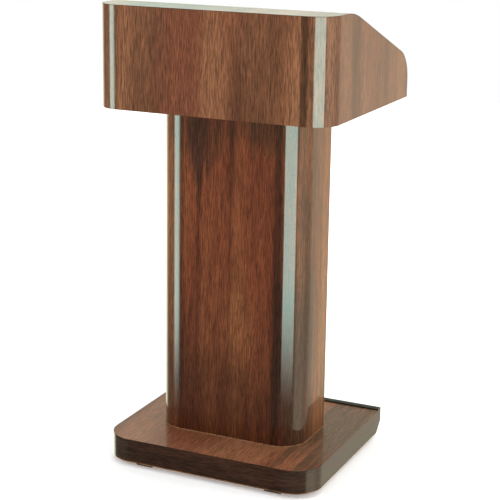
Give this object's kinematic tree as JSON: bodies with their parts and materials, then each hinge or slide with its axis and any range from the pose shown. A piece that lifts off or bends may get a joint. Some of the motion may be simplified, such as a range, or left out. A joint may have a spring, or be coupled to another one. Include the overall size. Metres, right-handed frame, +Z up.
{
  "type": "presentation lectern",
  "caption": "Standing presentation lectern: sloped desk head with front panel, rounded pedestal column and low base with front feet and rear transport wheels.",
  "frame": {"origin": "on the floor, under the centre of the whole object's box", "axes": "+Z up; -Y towards the audience, +Y towards the presenter; +X to the right when looking along +Y"},
  "size_m": [0.635, 0.566, 1.2065],
  "materials": {
    "head_veneer": "high gloss walnut laminate, upright grain",
    "column_veneer": "high gloss dark walnut laminate, upright grain",
    "base_veneer": "high gloss walnut laminate, level grain",
    "top_veneer": "high gloss walnut laminate on level faces",
    "edge_band": "thin dark walnut edge band, satin",
    "inner_board": "satin walnut laminate on inside faces",
    "raw_wood": "planed softwood, unfinished",
    "scuff_black": "ribbed black moulding, slight sheen",
    "foot_black": "matt black moulding",
    "tyre_rubber": "matt dark rubber tread",
    "wheel_plastic": "moulded dark grey plastic",
    "zinc_steel": "zinc plated pressed steel",
    "screw_steel": "plated fastener steel"
  },
  "bodies": {
    "root": {"head_wrap": "head_veneer", "head_top_panel": "inner_board", "head_floor": "inner_board", "head_top_laminate": "top_veneer", "head_edge_band_left": "edge_band", "head_edge_band_right": "edge_band", "reading_surface": "top_veneer", "book_stop": "top_veneer", "reading_cleat_left": "raw_wood", "reading_cleat_right": "raw_wood", "column_wrap": "column_veneer", "column_top_plate": "raw_wood", "column_bottom_plate": "raw_wood", "column_rear_panel": "column_veneer", "column_cleat_left": "raw_wood", "column_cleat_right": "raw_wood", "base_apron": "base_veneer", "base_deck": "inner_board", "base_top_laminate": "top_veneer", "base_rear_rail": "base_veneer", "scuff_strip": "scuff_black", "base_batten_left": "raw_wood", "base_batten_right": "raw_wood", "foot_block_left": "raw_wood", "foot_block_right": "raw_wood", "front_foot_left": "foot_black", "front_foot_right": "foot_black", "wheel_bracket_left": "zinc_steel", "wheel_bracket_right": "zinc_steel", "wheel_axle_left": "zinc_steel", "wheel_axle_right": "zinc_steel", "axle_clip_left": "zinc_steel", "axle_clip_right": "zinc_steel", "head_bolt_washers": "zinc_steel", "head_bolts": "zinc_steel", "head_bolt_inserts": "zinc_steel", "base_bolt_washers": "zinc_steel", "base_bolts": "zinc_steel", "base_bolt_inserts": "zinc_steel", "rear_panel_screws": "screw_steel", "foot_screws": "screw_steel", "bracket_screws": "screw_steel", "reading_surface_screws": "screw_steel", "book_stop_screws": "screw_steel"},
    "left_wheel": {"wheel_hub_left": "wheel_plastic", "wheel_tyre_left": "tyre_rubber"},
    "right_wheel": {"wheel_hub_right": "wheel_plastic", "wheel_tyre_right": "tyre_rubber"}
  },
  "joints": [
    {"name": "left_wheel_spin", "type": "hinge", "parent": "root", "child": "left_wheel", "pos_m": [-0.23, 0.186, 0.025], "axis": [1, 0, 0], "continuous": true},
    {"name": "right_wheel_spin", "type": "hinge", "parent": "root", "child": "right_wheel", "pos_m": [0.23, 0.186, 0.025], "axis": [1, 0, 0], "continuous": true}
  ]
}
